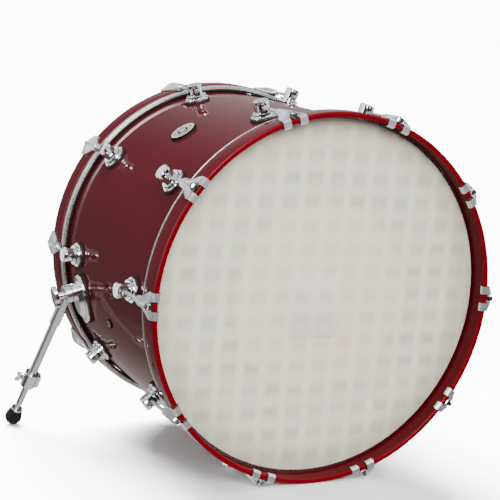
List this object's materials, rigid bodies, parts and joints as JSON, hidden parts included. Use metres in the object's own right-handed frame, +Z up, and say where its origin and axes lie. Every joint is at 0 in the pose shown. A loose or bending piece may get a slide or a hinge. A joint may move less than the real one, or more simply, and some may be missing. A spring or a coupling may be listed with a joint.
{
  "type": "bass drum",
  "caption": "Lacquered wood bass drum on its side with a woven mesh batter head, claw hooks on turret lugs and two folding spurs.",
  "frame": {"origin": "on the floor, below the middle of the drum as it stands on its batter hoop and its two spurs", "axes": "+Z up, -Y towards the batter side and the player, +Y towards the raised front end with the spurs, +X to the right seen from the player"},
  "size_m": [0.7142, 0.5388, 0.6167],
  "materials": {
    "lacquered_wood": "gloss lacquer",
    "flesh_aluminium": "satin",
    "mesh_weave": "woven",
    "coated_film": "coated",
    "foam": "soft",
    "patch_cloth": "woven",
    "chrome": "polished",
    "rubber": "matte",
    "steel": "zinc plated",
    "nylon": "moulded"
  },
  "bodies": {
    "drum": {"shell": "lacquered_wood", "batter_hoop": "lacquered_wood", "front_hoop": "lacquered_wood", "batter_flesh_hoop": "flesh_aluminium", "front_flesh_hoop": "flesh_aluminium", "batter_head": "mesh_weave", "front_head": "coated_film", "damping_disc": "foam", "beater_patch": "patch_cloth", "batter_claws": "chrome", "front_claws": "chrome", "claw_liners": "rubber", "batter_lugs": "chrome", "front_lugs": "chrome", "lug_gaskets": "rubber", "swivel_nuts": "steel", "lug_screws": "steel", "rod_washers": "nylon", "badge": "chrome", "badge_gasket": "rubber", "vent_grommet": "chrome", "spur_gaskets": "rubber", "spur_brackets": "chrome", "spur_screws": "steel"},
    "batter_rod_01": {"batter_rod_01": "chrome"},
    "batter_rod_02": {"batter_rod_02": "chrome"},
    "batter_rod_03": {"batter_rod_03": "chrome"},
    "batter_rod_04": {"batter_rod_04": "chrome"},
    "batter_rod_05": {"batter_rod_05": "chrome"},
    "batter_rod_06": {"batter_rod_06": "chrome"},
    "batter_rod_07": {"batter_rod_07": "chrome"},
    "batter_rod_08": {"batter_rod_08": "chrome"},
    "batter_rod_09": {"batter_rod_09": "chrome"},
    "batter_rod_10": {"batter_rod_10": "chrome"},
    "front_rod_01": {"front_rod_01": "chrome"},
    "front_rod_02": {"front_rod_02": "chrome"},
    "front_rod_03": {"front_rod_03": "chrome"},
    "front_rod_04": {"front_rod_04": "chrome"},
    "front_rod_05": {"front_rod_05": "chrome"},
    "front_rod_06": {"front_rod_06": "chrome"},
    "front_rod_07": {"front_rod_07": "chrome"},
    "front_rod_08": {"front_rod_08": "chrome"},
    "front_rod_09": {"front_rod_09": "chrome"},
    "front_rod_10": {"front_rod_10": "chrome"},
    "left_leg": {"left_leg_sleeve": "chrome", "left_leg_tube": "chrome", "left_leg_clamp": "chrome"},
    "left_inner": {"left_inner_leg": "chrome"},
    "left_foot_cap": {"left_foot": "rubber", "left_foot_collar": "chrome"},
    "left_lock": {"left_lock_handle": "chrome"},
    "left_clamp_wing": {"left_clamp_screw": "chrome"},
    "right_leg": {"right_leg_sleeve": "chrome", "right_leg_tube": "chrome", "right_leg_clamp": "chrome"},
    "right_inner": {"right_inner_leg": "chrome"},
    "right_foot_cap": {"right_foot": "rubber", "right_foot_collar": "chrome"},
    "right_lock": {"right_lock_handle": "chrome"},
    "right_clamp_wing": {"right_clamp_screw": "chrome"}
  },
  "joints": [
    {"name": "batter_rod_01_turn", "type": "hinge", "parent": "drum", "child": "batter_rod_01", "pos_m": [0.09159, -0.26579, 0.57093], "axis": [0, 0.9969, 0.0785], "continuous": true},
    {"name": "batter_rod_02_turn", "type": "hinge", "parent": "drum", "child": "batter_rod_02", "pos_m": [0.23979, -0.25734, 0.46359], "axis": [0, 0.9969, 0.0785], "continuous": true},
    {"name": "batter_rod_03_turn", "type": "hinge", "parent": "drum", "child": "batter_rod_03", "pos_m": [0.2964, -0.24367, 0.28991], "axis": [0, 0.9969, 0.0785], "continuous": true},
    {"name": "batter_rod_04_turn", "type": "hinge", "parent": "drum", "child": "batter_rod_04", "pos_m": [0.23979, -0.23, 0.11622], "axis": [0, 0.9969, 0.0785], "continuous": true},
    {"name": "batter_rod_05_turn", "type": "hinge", "parent": "drum", "child": "batter_rod_05", "pos_m": [0.09159, -0.22156, 0.00888], "axis": [0, 0.9969, 0.0785], "continuous": true},
    {"name": "batter_rod_06_turn", "type": "hinge", "parent": "drum", "child": "batter_rod_06", "pos_m": [-0.09159, -0.22156, 0.00888], "axis": [0, 0.9969, 0.0785], "continuous": true},
    {"name": "batter_rod_07_turn", "type": "hinge", "parent": "drum", "child": "batter_rod_07", "pos_m": [-0.23979, -0.23, 0.11622], "axis": [0, 0.9969, 0.0785], "continuous": true},
    {"name": "batter_rod_08_turn", "type": "hinge", "parent": "drum", "child": "batter_rod_08", "pos_m": [-0.2964, -0.24367, 0.28991], "axis": [0, 0.9969, 0.0785], "continuous": true},
    {"name": "batter_rod_09_turn", "type": "hinge", "parent": "drum", "child": "batter_rod_09", "pos_m": [-0.23979, -0.25734, 0.46359], "axis": [0, 0.9969, 0.0785], "continuous": true},
    {"name": "batter_rod_10_turn", "type": "hinge", "parent": "drum", "child": "batter_rod_10", "pos_m": [-0.09159, -0.26579, 0.57093], "axis": [0, 0.9969, 0.0785], "continuous": true},
    {"name": "front_rod_01_turn", "type": "hinge", "parent": "drum", "child": "front_rod_01", "pos_m": [0.09159, 0.20316, 0.60784], "axis": [0, 0.9969, 0.0785], "continuous": true},
    {"name": "front_rod_02_turn", "type": "hinge", "parent": "drum", "child": "front_rod_02", "pos_m": [0.23979, 0.21161, 0.5005], "axis": [0, 0.9969, 0.0785], "continuous": true},
    {"name": "front_rod_03_turn", "type": "hinge", "parent": "drum", "child": "front_rod_03", "pos_m": [0.2964, 0.22528, 0.32681], "axis": [0, 0.9969, 0.0785], "continuous": true},
    {"name": "front_rod_04_turn", "type": "hinge", "parent": "drum", "child": "front_rod_04", "pos_m": [0.23979, 0.23895, 0.15313], "axis": [0, 0.9969, 0.0785], "continuous": true},
    {"name": "front_rod_05_turn", "type": "hinge", "parent": "drum", "child": "front_rod_05", "pos_m": [0.09159, 0.24739, 0.04579], "axis": [0, 0.9969, 0.0785], "continuous": true},
    {"name": "front_rod_06_turn", "type": "hinge", "parent": "drum", "child": "front_rod_06", "pos_m": [-0.09159, 0.24739, 0.04579], "axis": [0, 0.9969, 0.0785], "continuous": true},
    {"name": "front_rod_07_turn", "type": "hinge", "parent": "drum", "child": "front_rod_07", "pos_m": [-0.23979, 0.23895, 0.15313], "axis": [0, 0.9969, 0.0785], "continuous": true},
    {"name": "front_rod_08_turn", "type": "hinge", "parent": "drum", "child": "front_rod_08", "pos_m": [-0.2964, 0.22528, 0.32681], "axis": [0, 0.9969, 0.0785], "continuous": true},
    {"name": "front_rod_09_turn", "type": "hinge", "parent": "drum", "child": "front_rod_09", "pos_m": [-0.23979, 0.21161, 0.5005], "axis": [0, 0.9969, 0.0785], "continuous": true},
    {"name": "front_rod_10_turn", "type": "hinge", "parent": "drum", "child": "front_rod_10", "pos_m": [-0.09159, 0.20316, 0.60784], "axis": [0, 0.9969, 0.0785], "continuous": true},
    {"name": "left_leg_fold", "type": "hinge", "parent": "drum", "child": "left_leg", "pos_m": [-0.29909, 0.11163, 0.2541], "axis": [-0.9659, 0.0203, -0.258], "range_deg": [0, 118]},
    {"name": "left_lock_turn", "type": "hinge", "parent": "drum", "child": "left_lock", "pos_m": [-0.29909, 0.11163, 0.2541], "axis": [-0.9659, 0.0203, -0.258], "range_deg": [0, 180]},
    {"name": "left_inner_slide", "type": "slide", "parent": "left_leg", "child": "left_inner", "axis": [-0.154, 0.507, -0.8481], "range_m": [-0.038, 0.055]},
    {"name": "left_foot_screw", "type": "slide", "parent": "left_inner", "child": "left_foot_cap", "axis": [-0.154, 0.507, -0.8481], "range_m": [-0.0095, 0]},
    {"name": "left_clamp_turn", "type": "hinge", "parent": "left_leg", "child": "left_clamp_wing", "pos_m": [-0.3288, 0.20949, 0.09042], "axis": [-0.9646, 0.1088, 0.2402], "range_deg": [0, 180]},
    {"name": "right_leg_fold", "type": "hinge", "parent": "drum", "child": "right_leg", "pos_m": [0.29909, 0.11163, 0.2541], "axis": [-0.9659, -0.0203, 0.258], "range_deg": [0, 118]},
    {"name": "right_lock_turn", "type": "hinge", "parent": "drum", "child": "right_lock", "pos_m": [0.29909, 0.11163, 0.2541], "axis": [-0.9659, -0.0203, 0.258], "range_deg": [0, 180]},
    {"name": "right_inner_slide", "type": "slide", "parent": "right_leg", "child": "right_inner", "axis": [0.154, 0.507, -0.8481], "range_m": [-0.038, 0.055]},
    {"name": "right_foot_screw", "type": "slide", "parent": "right_inner", "child": "right_foot_cap", "axis": [0.154, 0.507, -0.8481], "range_m": [-0.0095, 0]},
    {"name": "right_clamp_turn", "type": "hinge", "parent": "right_leg", "child": "right_clamp_wing", "pos_m": [0.3288, 0.20949, 0.09042], "axis": [-0.9646, -0.1088, -0.2402], "range_deg": [0, 180]}
  ]
}
